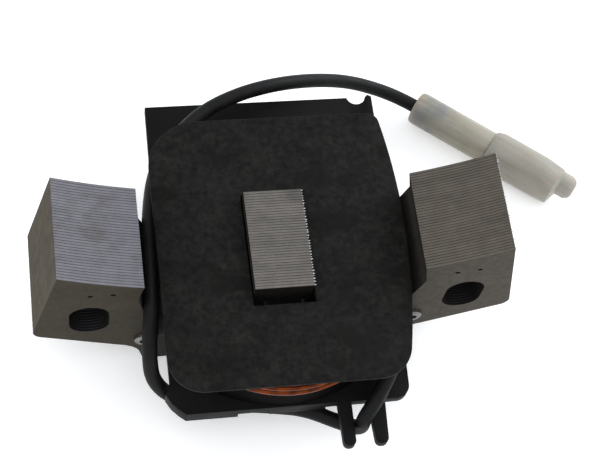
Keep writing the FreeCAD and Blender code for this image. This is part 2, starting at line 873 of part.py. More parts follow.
def build_outer_tape():
    """Tape round the winding's outline, leaving the turns next to the front flange bare."""
    body = new_body("outer_tape")
    sketch = new_sketch(body, "XY_Plane", "TapeOutline", "Dims.tape_low_z")
    uprights = {}
    for skin in ("tape_outer", "tape_inner"):
        corners = rectangle(skin + "_corner_x", skin + "_low_y", skin + "_high_y")
        bowed = {edge: (-1, skin + ("_side_radius" if edge % 2 else "_end_radius")) for edge in range(4)}
        add_outline(sketch, corners, bowed)
        uprights[skin] = [(number(x), number(y)) for x, y in corners]
    add_pad(body, sketch, "Dims.tape_high_z - Dims.tape_low_z")
    for skin, spots in uprights.items():
        round_uprights(body, spots, "Dims.%s_round" % skin, skin + "_corners")
    return body


# ---- connector ----------------------------------------------------------------------


def place_on_lead(body):
    """Puts a piece that is modelled along its own X axis onto the end of the lead."""
    spin = FreeCAD.Rotation(FreeCAD.Vector(0, 0, 1), DIMS["connector_turn"])
    body.Placement = FreeCAD.Placement(FreeCAD.Vector(), spin)
    for axis in "xyz":
        body.setExpression("Placement.Base." + axis, "Dims.connector_" + axis)
    return body


def build_pin_terminal():
    profile = [
        ("grip_start", "grip_inner"),
        ("grip_start", "grip_outer"),
        ("grip_end", "grip_outer"),
        ("crimp_start", "crimp_outer"),
        ("crimp_end", "crimp_outer"),
        ("collar_start", "neck_outer"),
        ("collar_start", "collar_outer"),
        ("collar_end", "collar_outer"),
        ("collar_end", "pin_radius"),
        ("pin_groove_start", "pin_radius"),
        ("pin_groove_start", "pin_groove_radius"),
        ("pin_groove_end", "pin_groove_radius"),
        ("pin_groove_end", "pin_radius"),
        ("pin_round_start", "pin_radius"),
        ("pin_end", "pin_nose_radius"),
        ("pin_end", "0"),
        ("crimp_end", "0"),
        ("crimp_end", "crimp_inner"),
        ("crimp_start", "crimp_inner"),
        ("grip_end", "grip_inner"),
    ]
    return place_on_lead(spin_profile("pin_terminal", [profile]))


def build_pin_sleeve():
    profile = [
        ("0", "sleeve_inner"),
        ("0", "sleeve_lip_outer"),
        ("sleeve_edge", "sleeve_edge_outer"),
        ("sleeve_full", "sleeve_outer"),
        ("sleeve_length", "sleeve_outer"),
        ("sleeve_length", "sleeve_inner"),
    ]
    return place_on_lead(spin_profile("pin_sleeve", [profile]))


def build_strands_end():
    profile = [
        ("lead_depth", "0"),
        ("lead_depth", "crimp_inner"),
        ("crimp_end", "crimp_inner"),
        ("crimp_end", "0"),
    ]
    return place_on_lead(spin_profile("crimped_strands", [profile]))


def build_socket_terminal():
    profile = [
        ("socket_start", "socket_inner"),
        ("socket_start", "socket_outer"),
        ("socket_end", "socket_outer"),
        ("socket_end", "empty_crimp_outer"),
        ("empty_crimp_end", "empty_crimp_outer"),
        ("empty_crimp_end", "empty_crimp_inner"),
        ("socket_end", "empty_crimp_inner"),
        ("socket_end", "0"),
        ("socket_floor", "0"),
        ("socket_floor", "socket_inner"),
    ]
    body = spin_profile("socket_terminal", [profile])
    slit = new_sketch(body, "XY_Plane", "SocketSlit")
    slit_corners = [
        ("socket_start", "-socket_slit_half"),
        ("pin_end", "-socket_slit_half"),
        ("pin_end", "socket_slit_half"),
        ("socket_start", "socket_slit_half"),
    ]
    add_outline(slit, slit_corners)
    add_pocket(body, slit, "2 * Dims.socket_outer", "SlitCut", reverse=True)
    return place_on_lead(body)


def build_socket_sleeve():
    """The wide sleeve: a flared mouth over the pin sleeve, a long barrel and an offset nose."""
    body = new_body("socket_sleeve")
    profile = new_sketch(body, "XY_Plane", "BarrelProfile")
    barrel = [
        ("mouth_start", "0"),
        ("mouth_start", "mouth_outer"),
        ("mouth_full", "cover_outer"),
        ("cover_shoulder", "cover_outer"),
        ("cover_shoulder", "0"),
    ]
    add_outline(profile, barrel)
    turn = body.newObject("PartDesign::Revolution", "Barrel")
    turn.Profile = profile
    turn.ReferenceAxis = (origin_feature(body, "X_Axis"), [""])
    turn.Angle = 360
    document.recompute()
    rings = []
    for name, at, shift, radius in (
        ("Shoulder", "cover_shoulder", "0", "cover_outer"),
        ("Heel", "cover_heel", "cover_heel_shift", "cover_heel_radius"),
        ("NoseRoot", "nose_start", "nose_shift", "nose_radius"),
        ("NoseEnd", "nose_full", "nose_shift", "nose_radius"),
        ("NoseRound", "nose_round", "nose_shift", "nose_round_radius"),
        ("NoseTip", "nose_end", "nose_shift", "nose_tip_radius"),
    ):
        ring = new_sketch(body, "YZ_Plane", name, "Dims." + at)
        add_circle(ring, shift, "0", radius)
        rings.append(ring)
    for first, last in zip(rings, rings[1:]):
        loft = body.newObject("PartDesign::AdditiveLoft", first.Name + "Loft")
        loft.Profile = first
        loft.Sections = [last]
        loft.Ruled = True
        document.recompute()
    bores = (
        ("MouthBore", "mouth_depth", "0", "mouth_inner", "Dims.mouth_depth - Dims.mouth_start"),
        ("BarrelBore", "cover_floor", "0", "cover_inner", "Dims.cover_floor - Dims.mouth_start"),
        ("NoseBore", "nose_end", "nose_shift", "nose_bore", "Dims.nose_end - Dims.cover_floor"),
    )
    for name, at, shift, radius, depth in bores:
        ring = new_sketch(body, "YZ_Plane", name + "Ring", "Dims." + at)
        add_circle(ring, shift, "0", radius)
        add_pocket(body, ring, depth, name)
    return place_on_lead(body)


# ---- the whole coil -----------------------------------------------------------------


def build_nodes():
    strands_start = (DIMS["splice_x"], HELD_ROUTE[0][1], DIMS["splice_z"])
    strands_stop = (DIMS["splice_x"], DIMS["solder_y"], DIMS["splice_z"])
    return [
        build_laminations(),
        build_rivets(),
        build_earth_tag(),
        build_earth_solder(),
        build_bobbin_tube(),
        build_front_flange(),
        build_rear_flange(),
        build_winding(),
        build_inner_wrap(),
        build_outer_tape(),
        add_tube("start_wire", START_ROUTE, "magnet_wire"),
        add_tube("finish_wire", FINISH_ROUTE, "magnet_wire"),
        build_splice_solder(),
        build_splice_sleeve(),
        add_tube("splice_strands", [strands_start, strands_stop], "strand_diameter"),
        add_tube("lead_held", HELD_ROUTE, "lead_diameter"),
        add_tube("lead_free", FREE_ROUTE, "lead_diameter"),
        build_strands_end(),
        build_pin_terminal(),
        build_pin_sleeve(),
        build_socket_terminal(),
        build_socket_sleeve(),
    ]


def check_document(nodes):
    for item in document.Objects:
        if {"Invalid", "Error"} & set(item.State):
            raise RuntimeError("%s failed: %s" % (item.Name, item.State))
    for node in nodes:
        if node.Shape.isNull() or not node.Shape.isValid():
            raise RuntimeError("%s has no valid shape" % node.Label)


nodes = build_nodes()
document.recompute()
check_document(nodes)
os.makedirs("parts", exist_ok=True)
for node in nodes:
    node.Shape.exportStep("parts/%s.step" % node.Label)
    box = node.Shape.BoundBox
    print("%-18s %3d solids, volume %8.1f, z %.2f to %.2f" % (
        node.Label, len(node.Shape.Solids), node.Shape.Volume, box.ZMin, box.ZMax))
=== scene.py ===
"""Looks of the ignition coil: materials, sheets, turns, lead and studio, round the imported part."""

import json
import math
import random

import bmesh
import bpy
import numpy as np
from mathutils import Matrix, Vector


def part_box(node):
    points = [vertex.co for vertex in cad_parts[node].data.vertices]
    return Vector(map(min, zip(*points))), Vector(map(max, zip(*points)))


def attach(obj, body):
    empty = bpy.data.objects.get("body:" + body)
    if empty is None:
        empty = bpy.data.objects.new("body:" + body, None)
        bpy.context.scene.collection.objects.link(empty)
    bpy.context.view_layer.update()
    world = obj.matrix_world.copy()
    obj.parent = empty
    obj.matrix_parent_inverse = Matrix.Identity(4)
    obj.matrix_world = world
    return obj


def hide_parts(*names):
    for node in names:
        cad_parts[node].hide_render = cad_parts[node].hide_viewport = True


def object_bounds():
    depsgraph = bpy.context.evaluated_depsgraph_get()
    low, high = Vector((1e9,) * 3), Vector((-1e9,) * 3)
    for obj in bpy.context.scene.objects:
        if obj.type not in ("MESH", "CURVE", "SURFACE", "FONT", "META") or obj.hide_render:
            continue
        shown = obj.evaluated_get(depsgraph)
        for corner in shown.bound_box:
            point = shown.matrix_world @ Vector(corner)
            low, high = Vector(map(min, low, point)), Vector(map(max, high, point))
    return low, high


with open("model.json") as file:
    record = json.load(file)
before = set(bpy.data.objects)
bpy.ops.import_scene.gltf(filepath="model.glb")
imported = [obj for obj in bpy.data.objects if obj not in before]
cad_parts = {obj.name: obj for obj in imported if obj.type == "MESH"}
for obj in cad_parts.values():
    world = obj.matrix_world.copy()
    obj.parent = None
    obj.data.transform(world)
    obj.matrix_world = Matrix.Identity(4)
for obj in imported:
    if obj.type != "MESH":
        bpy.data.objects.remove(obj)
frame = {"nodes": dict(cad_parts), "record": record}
cad_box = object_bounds()
nodes = frame["nodes"]
scene = bpy.context.scene
MM = 0.001
SHEETS = 36
FLAT_ANGLE = math.radians(0.5)  # faces that differ by less than this count as one


# ---- camera and cord come first --------------------------------------------------------


def make_camera():
    """The camera looks down on the pole faces from the front left."""
    up = Vector((0.0618, 0.8974, 0.4368))
    back = Vector((-0.1652, -0.4224, 0.8912))
    right = up.cross(back).normalized()
    up = back.cross(right).normalized()
    camera = bpy.data.objects.new("camera", bpy.data.cameras.new("camera"))
    camera.data.lens = 91.06
    camera.data.sensor_width = 36
    camera.data.clip_start = 0.01
    place = Matrix((right, up, back.normalized())).transposed().to_4x4()
    place.translation = Vector((-38.37, -105.76, 250.31)) * MM
    camera.matrix_world = place
    scene.collection.objects.link(camera)
    scene.camera = camera


make_camera()

# The lead's free stretch, from the flanges to the connector, in metres.
FREE_ROUTE = [
    (-0.0134, 0.0262, 0.0180),
    (-0.0100, 0.02985, 0.0178),
    (-0.0032, 0.0334, 0.0178),
    (0.0044, 0.0361, 0.0166),
    (0.0124, 0.0388, 0.0132),
    (0.0204, 0.0410, 0.0086),
    (0.0274, 0.0406, 0.0054),
    (0.03262, 0.03846, 0.00415),
    (0.03648, 0.03544, 0.00415),
]
LEAD_DIAMETER = 2.6 * MM
LEAD_DEPTH = 3.0 * MM  # how far the lead goes into the sleeve
# A turn about Z that lays the connector's axis along X, and where the lead goes in on that axis.
CONNECTOR_TURN = math.radians(38)
WIRE_ENTRY = (
    FREE_ROUTE[-1][0] * math.cos(CONNECTOR_TURN)
    - FREE_ROUTE[-1][1] * math.sin(CONNECTOR_TURN)
    - LEAD_DEPTH
)


def make_lead():
    """The free lead: one smooth spline with its route as control points."""
    curve = bpy.data.curves.new("lead_free_run", "CURVE")
    curve.dimensions = "3D"
    curve.bevel_depth = LEAD_DIAMETER / 2
    curve.bevel_resolution = 8
    curve.resolution_u = 24
    curve.use_fill_caps = True
    spline = curve.splines.new("NURBS")
    spline.points.add(len(FREE_ROUTE) - 1)
    for point, place in zip(spline.points, FREE_ROUTE):
        point.co = (*place, 1)
    spline.order_u = 3
    spline.use_endpoint_u = True
    lead = bpy.data.objects.new("lead_free_run", curve)
    scene.collection.objects.link(lead)
    return lead


lead = make_lead()


# ---- materials -------------------------------------------------------------------------


class Shader:
    """A node material under construction, in object coordinates (metres)."""

    def __init__(self, name, **inputs):
        self.material = bpy.data.materials.new(name)
        self.material.use_nodes = True
        self.tree = self.material.node_tree
        self.surface = self.tree.nodes["Principled BSDF"]
        self.coords = self.tree.nodes.new("ShaderNodeTexCoord").outputs["Object"]
        for socket, value in inputs.items():
            self.surface.inputs[socket.replace("_", " ")].default_value = value

    def put(self, socket, value):
        if isinstance(value, bpy.types.NodeSocket):
            self.tree.links.new(value, socket)
        else:
            socket.default_value = value

    def node(self, kind, output=0, settings=None, **inputs):
        """A new node's output: inputs go by name, or by number as i0, i1."""
        made = self.tree.nodes.new(kind)
        for key, value in (settings or {}).items():
            setattr(made, key, value)
        for socket, value in inputs.items():
            numbered = socket[0] == "i" and socket[1:].isdigit()
            key = int(socket[1:]) if numbered else socket.replace("_", " ")
            self.put(made.inputs[key], value)
        return made.outputs[output]

    def axis(self, letter, vector=None):
        """One part of a vector: of the place, in metres, where none is given."""
        if vector is None:
            vector = self.coords
        return self.node("ShaderNodeSeparateXYZ", output=letter, Vector=vector)

    def mapped(self, vector, scale=(1, 1, 1), turn=(0, 0, 0)):
        """A vector scaled, then turned."""
        return self.node("ShaderNodeMapping", Vector=vector, Scale=scale, Rotation=turn)

    def noise(self, size, detail=3.0, roughness=0.55, stretch=(1, 1, 1), offset=0.0):
        """Noise whose features are about size metres across."""
        where = self.mapped(self.coords, tuple(part / size for part in stretch))
        if offset:
            where = self.node(
                "ShaderNodeVectorMath", settings={"operation": "ADD"}, i0=where, i1=(offset,) * 3
            )
        return self.node(
            "ShaderNodeTexNoise", Vector=where, Scale=1.0, Detail=detail, Roughness=roughness
        )

    def ramp(self, factor, *stops):
        """Colours or greys by position: stops are (position, value)."""
        made = self.tree.nodes.new("ShaderNodeValToRGB")
        elements = made.color_ramp.elements
        while len(elements) < len(stops):
            elements.new(0.5)
        for element, (position, value) in zip(elements, stops):
            element.position = position
            grey = isinstance(value, (int, float))
            element.color = (value, value, value, 1) if grey else (*value, 1)
        self.put(made.inputs["Fac"], factor)
        return made.outputs["Color"]

    def mix(self, factor, first, second, mode="MIX"):
        """First where factor is 0, second where it is 1."""
        made = self.tree.nodes.new("ShaderNodeMix")
        made.data_type = "RGBA"
        made.blend_type = mode
        for index, value in ((0, factor), (6, first), (7, second)):
            if isinstance(value, tuple) and len(value) == 3:
                value = (*value, 1)
            elif index and isinstance(value, (int, float)):
                value = (value, value, value, 1)
            self.put(made.inputs[index], value)
        return made.outputs[2]

    def math(self, operation, first, second=0.0, third=0.5):
        return self.node(
            "ShaderNodeMath", settings={"operation": operation}, i0=first, i1=second, i2=third
        )

    def bump(self, height, depth, base=None):
        """Adds relief: depth is its height in metres."""
        made = self.tree.nodes.new("ShaderNodeBump")
        made.inputs["Distance"].default_value = depth
        self.put(made.inputs["Height"], height)
        if base is not None:
            self.put(made.inputs["Normal"], base)
        return made.outputs["Normal"]

    def finish(self, **sockets):
        for socket, value in sockets.items():
            self.put(self.surface.inputs[socket.replace("_", " ")], value)
        return self.material


def pole_faces(make, along, drag, stain, patch):
    """The sheets' upward edges, with grimy joints, and painted light and shade: bluer at the left,
    darker and browner at the right.
    """
    # Painted light and shade: the pole faces bluer at the left, darker and browner at the right.
    tone = make.ramp(
        along,
        (0.25, (0.128, 0.125, 0.142)),
        (0.42, (0.134, 0.124, 0.113)),
        (0.58, (0.134, 0.124, 0.113)),
        (0.75, (0.108, 0.095, 0.079)),
    )
    tone = make.mix(1.0, tone, make.ramp(drag, (0.25, 0.88), (0.75, 1.10)), "MULTIPLY")
    tone = make.mix(make.ramp(stain, (0.52, 0.0), (0.68, 0.55)), tone, (0.072, 0.068, 0.064))
    tone = make.mix(1.0, tone, make.ramp(patch, (0.32, 0.90), (0.68, 1.10)), "MULTIPLY")
    half_pitch = 0.00025
    from_joint = make.math(
        "MULTIPLY", make.math("PINGPONG", make.axis("Y"), half_pitch), 1 / half_pitch
    )
    strength = make.ramp(along, (0.30, 0.0), (0.50, 0.30), (0.70, 0.48))
    grime = make.math("MULTIPLY", make.ramp(from_joint, (0.14, 1.0), (0.36, 0.0)), strength)
    return make.mix(grime, tone, (0.020, 0.017, 0.014))


def punched_sides(make, away, patch):
    """The sheets' other edges: dull brown outside, with painted shade, near black, between the legs.
    """
    tone = make.ramp(patch, (0.30, (0.064, 0.055, 0.040)), (0.72, (0.092, 0.080, 0.061)))
    # Painted shade: the sides between the legs near black.
    painted_shade_between_legs = make.math("MULTIPLY", make.ramp(away, (0.0240, 1.0), (0.0262, 0.0)), 0.80)
    return make.mix(painted_shade_between_legs, tone, (0.016, 0.015, 0.015))


def rolled_faces(make, along, away, stain, patch):
    """The end sheets' flat faces: brown-grey, lighter to the right, with painted shade, near black,
    round the bobbin.
    """
    tone = make.ramp(patch, (0.30, (0.029, 0.0235, 0.0135)), (0.72, (0.040, 0.033, 0.020)))
    tone = make.mix(make.ramp(stain, (0.45, 0.0), (0.66, 0.40)), tone, (0.022, 0.018, 0.011))
    tone = make.mix(make.ramp(along, (0.2, 0.0), (0.9, 0.75)), tone, (0.056, 0.047, 0.036))
    # Painted shade: the flat faces within the bobbin's reach, centre leg and yoke, near black.
    near = make.ramp(make.math("MULTIPLY", away, 10.0), (0.217, 1.0), (0.236, 0.0))
    tone = make.mix(make.math("MULTIPLY", near, 0.85), tone, (0.006, 0.006, 0.006))
    speckle = make.noise(0.0007, 3, 0.7, offset=5.3)
    return make.mix(1.0, tone, make.ramp(speckle, (0.30, 0.78), (0.70, 1.24)), "MULTIPLY")


def slot_shade_mask(make, away, flat):
    """A mask of the bolt slots' walls, from the distance to each slot's middle line, for painted
    shade in the slots.
    """
    slot_x, slot_low, slot_high = 0.032, 0.0173, 0.0207
    z = make.axis("Z")
    across = make.math("SUBTRACT", away, slot_x)
    past = make.math(
        "MAXIMUM", make.math("SUBTRACT", slot_low, z), make.math("SUBTRACT", z, slot_high)
    )
    past = make.math("MAXIMUM", past, 0.0)
    squares = make.math("ADD", make.math("POWER", across, 2.0), make.math("POWER", past, 2.0))
    reach = make.math("MULTIPLY", make.math("SQRT", squares), 100.0)
    inside = make.math("MULTIPLY", make.ramp(reach, (0.332, 1.0), (0.336, 0.0)), 0.93)
    return make.math("MULTIPLY", inside, make.math("SUBTRACT", 1.0, flat))


def steel_sheets():
    """Punched electrical steel: scored sheet edges and brown-grey rolled faces, with painted shade
    in the slots, between the legs and round the bobbin.
    """
    make = Shader("lamination_steel", Metallic=0.25, Specular_IOR_Level=0.1)
    facing = make.tree.nodes["Texture Coordinate"].outputs["Normal"]
    flat = make.ramp(make.math("ABSOLUTE", make.axis("Y", facing)), (0.80, 0.0), (0.95, 1.0))
    upward = make.ramp(make.axis("Z", facing), (0.55, 0.0), (0.75, 1.0))
    x = make.axis("X")
    away = make.math("ABSOLUTE", x)
    along = make.math("MULTIPLY_ADD", x, 1 / 0.08, 0.5)
    drag = make.noise(0.0006, 4, 0.7, stretch=(0.8, 2.0, 0.8))
    stain = make.noise(0.007, 4, 0.6, stretch=(1, 1.4, 1))
    patch = make.noise(0.0022, 4, 0.6, offset=3.1)
    pole = pole_faces(make, along, drag, stain, patch)
    edge = make.mix(upward, punched_sides(make, away, patch), pole)
    tone = make.node(
        "ShaderNodeAttribute", settings={"attribute_name": "sheet_tone"}, output="Fac"
    )
    edge = make.mix(1.0, edge, make.ramp(tone, (0.0, 0.94), (1.0, 1.05)), "MULTIPLY")
    colour = make.mix(flat, edge, rolled_faces(make, along, away, stain, patch))
    # Painted shade: the bolt slots' walls near black.
    colour = make.mix(slot_shade_mask(make, away, flat), colour, (0.007, 0.007, 0.008))
    punched = make.mix(upward, 0.92, make.ramp(drag, (0.2, 0.42), (0.8, 0.58)))
    rough = make.mix(flat, punched, make.ramp(patch, (0.3, 0.52), (0.7, 0.66)))
    relief = make.bump(make.mix(flat, drag, patch), 0.00001)
    return make.finish(Base_Color=colour, Roughness=rough, Normal=relief)


def pressed_board():
    """The front flange: matt black board with flecks, smears and soft dents."""
    make = Shader("flange_fibre", Specular_IOR_Level=0.08)
    grain = make.noise(0.0005, 5, 0.65)
    fleck = make.noise(0.0010, 3, 0.6, offset=4.4)
    blotch = make.noise(0.0045, 4, 0.6)
    smear = make.noise(0.010, 3, 0.5, stretch=(1, 1.7, 1), offset=7.7)
    colour = make.ramp(blotch, (0.30, (0.0060, 0.0059, 0.0056)), (0.72, (0.0122, 0.0119, 0.0108)))
    colour = make.mix(1.0, colour, make.ramp(fleck, (0.32, 0.60), (0.68, 1.55)), "MULTIPLY")
    smeared = make.ramp(smear, (0.57, 0.0), (0.66, 0.70))
    colour = make.mix(smeared, colour, (0.0060, 0.0050, 0.0045))
    rough = make.ramp(blotch, (0.3, 0.62), (0.7, 0.82))
    relief = make.bump(blotch, 0.00006, make.bump(grain, 0.00004))
    return make.finish(Base_Color=colour, Roughness=rough, Normal=relief)


def moulded_black():
    """Black moulded plastic with a fine spark-eroded grain and handling marks."""
    make = Shader("bobbin_plastic", Specular_IOR_Level=0.08)
    grain = make.noise(0.00035, 4, 0.6)
    cloud = make.noise(0.004, 4, 0.6, offset=1.7)
    colour = make.ramp(cloud, (0.3, (0.0034, 0.0034, 0.0036)), (0.75, (0.0074, 0.0073, 0.0070)))
    rough = make.ramp(cloud, (0.25, 0.46), (0.75, 0.64))
    return make.finish(Base_Color=colour, Roughness=rough, Normal=make.bump(grain, 0.00002))


def insulated_lead():
    """Soft black lead insulation, slightly dusty, with faint handling marks."""
    make = Shader("lead_insulation", Specular_IOR_Level=0.14)
    cloud = make.noise(0.003, 4, 0.6)
    pores = make.noise(0.00025, 3, 0.6)
    colour = make.ramp(cloud, (0.3, (0.0040, 0.0040, 0.0041)), (0.75, (0.0085, 0.0085, 0.0085)))
    rough = make.ramp(cloud, (0.3, 0.46), (0.7, 0.62))
    return make.finish(Base_Color=colour, Roughness=rough, Normal=make.bump(pores, 0.00001))


def crimp_shadow(make, turned, entry):
    """A mask of two soft bands across a sleeve, where the crimp's wings lie close to the wall."""
    past = make.math("SUBTRACT", make.axis("X", turned), entry)
    bands = None
    for middle, half in ((0.0020, 0.0014), (0.0054, 0.0018)):
        off = make.math("ABSOLUTE", make.math("SUBTRACT", past, middle))
        band = make.ramp(make.math("MULTIPLY", off, 1 / (2 * half)), (0.25, 1.0), (1.0, 0.0))
        bands = band if bands is None else make.mix(1.0, bands, band, "LIGHTEN")
    clouded = make.ramp(make.noise(0.0045, 2, 0.5, offset=6.2), (0.42, 0.05), (0.60, 0.55))
    return make.math("MULTIPLY", bands, clouded)


def milky_sleeve(name, tint, shade, clearness, entry=None):
    """Soft translucent sleeve: milky, with faint flow lines along the connector.

    entry is where the lead goes in: the crimp shows faintly through the wall past it."""
    make = Shader(
        name,
        Transmission_Weight=clearness,
        IOR=1.45,
        Specular_IOR_Level=0.25,
        Subsurface_Weight=0.25,
        Subsurface_Scale=0.003,
    )
    turned = make.mapped(make.coords, turn=(0, 0, CONNECTOR_TURN))
    streak = make.node(
        "ShaderNodeTexNoise",
        Vector=make.mapped(turned, (60.0, 1400.0, 1400.0)),
        Scale=1.0,
        Detail=3.0,
    )
    cloud = make.noise(0.004, 3, 0.5)
    colour = make.ramp(make.mix(0.3, streak, cloud), (0.38, shade), (0.62, tint))
    if entry is not None:
        colour = make.mix(crimp_shadow(make, turned, entry), colour, (0.20, 0.23, 0.27))
    rough = make.ramp(cloud, (0.3, 0.34), (0.7, 0.48))
    return make.finish(Base_Color=colour, Roughness=rough, Normal=make.bump(streak, 0.00004))


def enamelled_copper():
    """Enamelled copper wire: deep orange-red metal under a thin clear coat."""
    make = Shader("enamelled_copper", Metallic=0.9, Coat_Weight=0.10, Coat_Roughness=0.10)
    cloud = make.noise(0.002, 3, 0.5)
    colour = make.ramp(cloud, (0.3, (0.035, 0.006, 0.0010)), (0.7, (0.20, 0.038, 0.0035)))
    rough = make.ramp(cloud, (0.3, 0.26), (0.7, 0.40))
    return make.finish(Base_Color=colour, Roughness=rough)


def plain_metal(name, dark, light, rough, metallic=1.0):
    """A small trim piece, clouded between two tones and lightly scuffed."""
    make = Shader(name, Metallic=metallic)
    size = 0.0012
    cloud = make.noise(size, 4, 0.6)
    scuff = make.noise(size / 5, 3, 0.6, stretch=(1, 2, 1))
    colour = make.ramp(cloud, (0.3, dark), (0.7, light))
    roughness = make.ramp(scuff, (0.25, rough * 0.8), (0.75, rough * 1.25))
    return make.finish(Base_Color=colour, Roughness=roughness, Normal=make.bump(scuff, 0.000008))


def woven_tape():
    """Black varnished cloth tape: a fine weave under varnish."""
    make = Shader("insulating_tape", Specular_IOR_Level=0.02)
    weave = make.noise(0.0003, 2, 0.5, stretch=(1, 1, 3))
    cloud = make.noise(0.004, 3, 0.5)
    colour = make.ramp(cloud, (0.3, (0.0022, 0.0019, 0.0019)), (0.75, (0.0042, 0.0036, 0.0034)))
    rough = make.ramp(cloud, (0.3, 0.60), (0.7, 0.78))
    return make.finish(Base_Color=colour, Roughness=rough, Normal=make.bump(weave, 0.00002))


def kraft_wrap():
    """Brown paper wrap: fibres that run round the winding."""
    make = Shader("insulating_wrap")
    fibre = make.noise(0.0006, 5, 0.7, stretch=(1, 1, 4))
    colour = make.ramp(fibre, (0.3, (0.16, 0.11, 0.055)), (0.7, (0.27, 0.20, 0.11)))
    return make.finish(Base_Color=colour, Roughness=0.85, Normal=make.bump(fibre, 0.00003))


MATERIALS = {
    "lamination_steel": steel_sheets(),
    "flange_fibre": pressed_board(),
    "bobbin_plastic": moulded_black(),
    "lead_insulation": insulated_lead(),
    "enamelled_copper": enamelled_copper(),
    "insulating_tape": woven_tape(),
    "insulating_wrap": kraft_wrap(),
}
for sleeve in (
    ("clear_sleeve", (0.50, 0.475, 0.405), (0.39, 0.36, 0.27), 0.40, WIRE_ENTRY),
    ("clear_sleeve_wide", (0.42, 0.40, 0.350), (0.35, 0.33, 0.275), 0.25),
):
    MATERIALS[sleeve[0]] = milky_sleeve(*sleeve)
for metal in (
    ("rivet_steel", (0.13, 0.125, 0.12), (0.26, 0.25, 0.24), 0.38),
    ("tinned_tag", (0.46, 0.46, 0.46), (0.66, 0.66, 0.67), 0.45, 0.7),
    ("solder", (0.45, 0.45, 0.46), (0.66, 0.66, 0.68), 0.32),
    ("splice_tube", (0.010, 0.010, 0.010), (0.022, 0.022, 0.022), 0.5, 0.0),
    ("lead_strands", (0.40, 0.24, 0.14), (0.66, 0.46, 0.32), 0.35),
    ("terminal_metal", (0.34, 0.37, 0.42), (0.50, 0.54, 0.60), 0.32),
):
    MATERIALS[metal[0]] = plain_metal(*metal)


def dress(piece, slot):
    piece.data.materials.clear()
    piece.data.materials.append(MATERIALS[slot])


slot_of = {entry["node"]: entry["material_slot"] for entry in frame["record"]["subparts"]}
for node, piece in nodes.items():
    finish = MATERIALS[slot_of[node]]
    if not piece.material_slots:
        piece.data.materials.append(finish)
    for held in piece.material_slots:
        held.material = finish


# ---- core ------------------------------------------------------------------------------


def soften(piece, width):
    """Rounds a CAD piece's sharp edges without touching its mesh."""
    weld = piece.modifiers.new("weld", "WELD")
    weld.merge_threshold = 1e-6
    flatten = piece.modifiers.new("flatten", "DECIMATE")
    flatten.decimate_type = "DISSOLVE"
    flatten.angle_limit = FLAT_ANGLE
    bevel = piece.modifiers.new("bevel", "BEVEL")
    bevel.width = width
    bevel.segments = 2
    bevel.limit_method = "ANGLE"
    bevel.angle_limit = math.radians(35)
    bevel.harden_normals = True
    for face in piece.data.polygons:
        face.use_smooth = True


def welded(piece):
    """A CAD piece's mesh as a bmesh, with its doubled points joined."""
    work = bmesh.new()
    work.from_mesh(piece.data)
    bmesh.ops.remove_doubles(work, verts=work.verts, dist=1e-6)
    return work


def taken_apart(work):
    """A bmesh's points and faces. Frees it."""
    work.verts.index_update()
    points = [tuple(vertex.co) for vertex in work.verts]
    faces = [[vertex.index for vertex in face.verts] for face in work.faces]
    work.free()
    return points, faces


def stack():
    """The core's low and high y, and the pitch of its sheets."""
    low, high = (corner.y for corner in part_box("core_laminations"))
    return low, high, (high - low) / SHEETS


def sheet_blank(low, thickness, rim):
    """One sheet at y = 0: the core's end face, thickened, with the punch's rounding on its edges.

    rim is the rounding of the pole edges; the other edges have less."""
    work = welded(nodes["core_laminations"])
    rest = [face for face in work.faces if face.normal.y > -0.99]
    bmesh.ops.delete(work, geom=rest, context="FACES")
    bmesh.ops.translate(work, verts=work.verts, vec=(0, -low, 0))
    bmesh.ops.dissolve_limit(work, angle_limit=FLAT_ANGLE, verts=work.verts, edges=work.edges)
    grown = bmesh.ops.extrude_face_region(work, geom=work.faces[:], use_keep_orig=True)["geom"]
    moved = [item for item in grown if isinstance(item, bmesh.types.BMVert)]
    bmesh.ops.translate(work, verts=moved, vec=(0, thickness, 0))
    bmesh.ops.recalc_face_normals(work, faces=work.faces)
    poles, others = [], []
    for edge in work.edges:
        wall, cap = sorted(edge.link_faces, key=lambda face: abs(face.normal.y))
        if abs(cap.normal.y) > 0.99 and abs(wall.normal.y) < 0.5:
            (poles if wall.normal.z > 0.5 else others).append(edge)
    for rims, offset in ((poles, rim), (others, 0.4 * rim)):
        rims = [edge for edge in rims if edge.is_valid]
        bmesh.ops.bevel(
            work, geom=rims, offset=offset, segments=1, profile=0.5, affect="EDGES"
        )
    return taken_apart(work)


def make_sheets():
    """The core's sheets, each with its own small offset and tone."""
    low, _, pitch = stack()
    gap = 0.001 * pitch  # on each side of a sheet: too little for light to pass
    blank, blank_faces = sheet_blank(low, pitch - 2 * gap, 0.06 * MM)
    blank = np.array(blank)
    draw = random.Random(11)
    points, faces, tones = [], [], []
    for index in range(SHEETS):
        start = index * len(blank)
        along = draw.uniform(-0.008, 0.008) * MM
        down = draw.uniform(-0.02, 0) * MM
        points.append(blank + np.array((along, low + gap + index * pitch, down)))
        faces += [[start + corner for corner in face] for face in blank_faces]
        tones += [draw.random()] * len(blank)
    mesh = bpy.data.meshes.new("core_sheets")
    mesh.from_pydata(np.concatenate(points).tolist(), [], faces)
    mesh.attributes.new("sheet_tone", "FLOAT", "POINT").data.foreach_set("value", tones)
    sheets = bpy.data.objects.new("core_sheets", mesh)
    scene.collection.objects.link(sheets)
    dress(sheets, "lamination_steel")
    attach(sheets, "coil")
    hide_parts("core_laminations")


def add_piece(name, points, faces, slot, smooth=False):
    """A new mesh piece on the coil, in metres."""
    mesh = bpy.data.meshes.new(name)
    mesh.from_pydata([tuple(point) for point in points], [], faces)
    if smooth:
        mesh.polygons.foreach_set("use_smooth", [True] * len(mesh.polygons))
    piece = bpy.data.objects.new(name, mesh)
    scene.collection.objects.link(piece)
    dress(piece, slot)
    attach(piece, "coil")
    return piece


